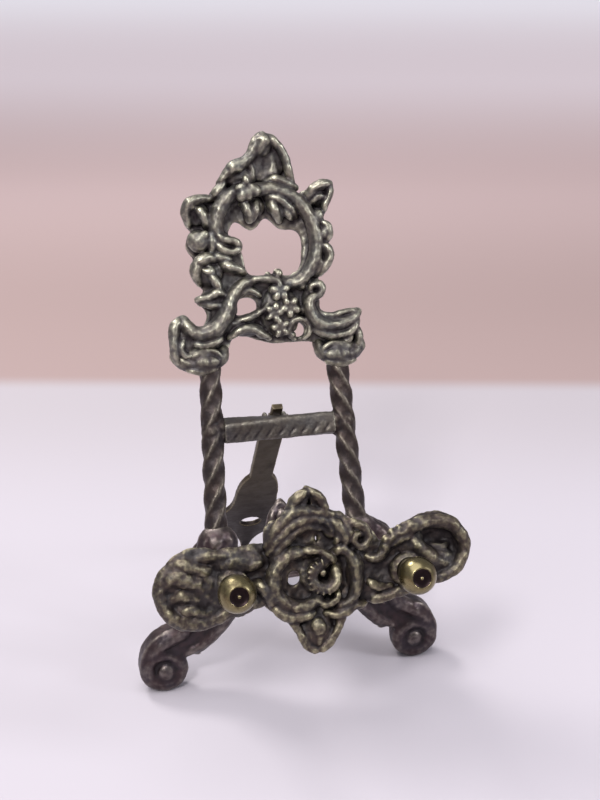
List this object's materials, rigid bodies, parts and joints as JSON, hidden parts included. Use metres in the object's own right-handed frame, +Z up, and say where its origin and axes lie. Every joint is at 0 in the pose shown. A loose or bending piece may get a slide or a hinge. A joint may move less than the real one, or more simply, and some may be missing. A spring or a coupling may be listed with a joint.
{
  "type": "photo album stand",
  "caption": "Small ornate cast-brass easel stand with a deep front ledge on two rods, ball knobs and a hinged back leg, for holding a photo album.",
  "frame": {"origin": "on the surface the stand rests on, at the middle of the whole stand's footprint", "axes": "+X to the viewer's right facing the ledge, -Y to the front where the ledge is, +Z up"},
  "size_m": [0.0758, 0.1148, 0.1283],
  "materials": {
    "crest_brass": "antique cast brass, dark purple-brown recesses and worn pale ridges",
    "bar_brass": "dark antique brass bar, lightly worn along the twist",
    "foot_brass": "dark antique brass casting, grey-blue sheen on the rounded tops",
    "ledge_brass": "rough granular cast brass, grey-green skin, brown recesses",
    "rod_brass": "smooth drawn brass rod, dull grey-green patina",
    "knob_brass": "turned and polished brass with a dark end disc",
    "leg_brass": "thin brown patinated brass plate",
    "pin_brass": "drawn brass rivet"
  },
  "bodies": {
    "stand": {"crest": "crest_brass", "left_capital": "crest_brass", "right_capital": "crest_brass", "left_post": "bar_brass", "right_post": "bar_brass", "rung": "bar_brass", "lower_rail": "foot_brass", "left_foot": "foot_brass", "right_foot": "foot_brass", "ledge_plate": "ledge_brass", "left_rod": "rod_brass", "right_rod": "rod_brass", "left_collar": "knob_brass", "right_collar": "knob_brass", "left_knob": "knob_brass", "right_knob": "knob_brass", "hinge_pin": "pin_brass"},
    "leg": {"back_leg": "leg_brass"}
  },
  "joints": [
    {"name": "leg_fold", "type": "hinge", "parent": "stand", "child": "leg", "pos_m": [-0.001, 0.00608, 0.06112], "axis": [1, 0, 0], "range_deg": [-55, 0]}
  ]
}
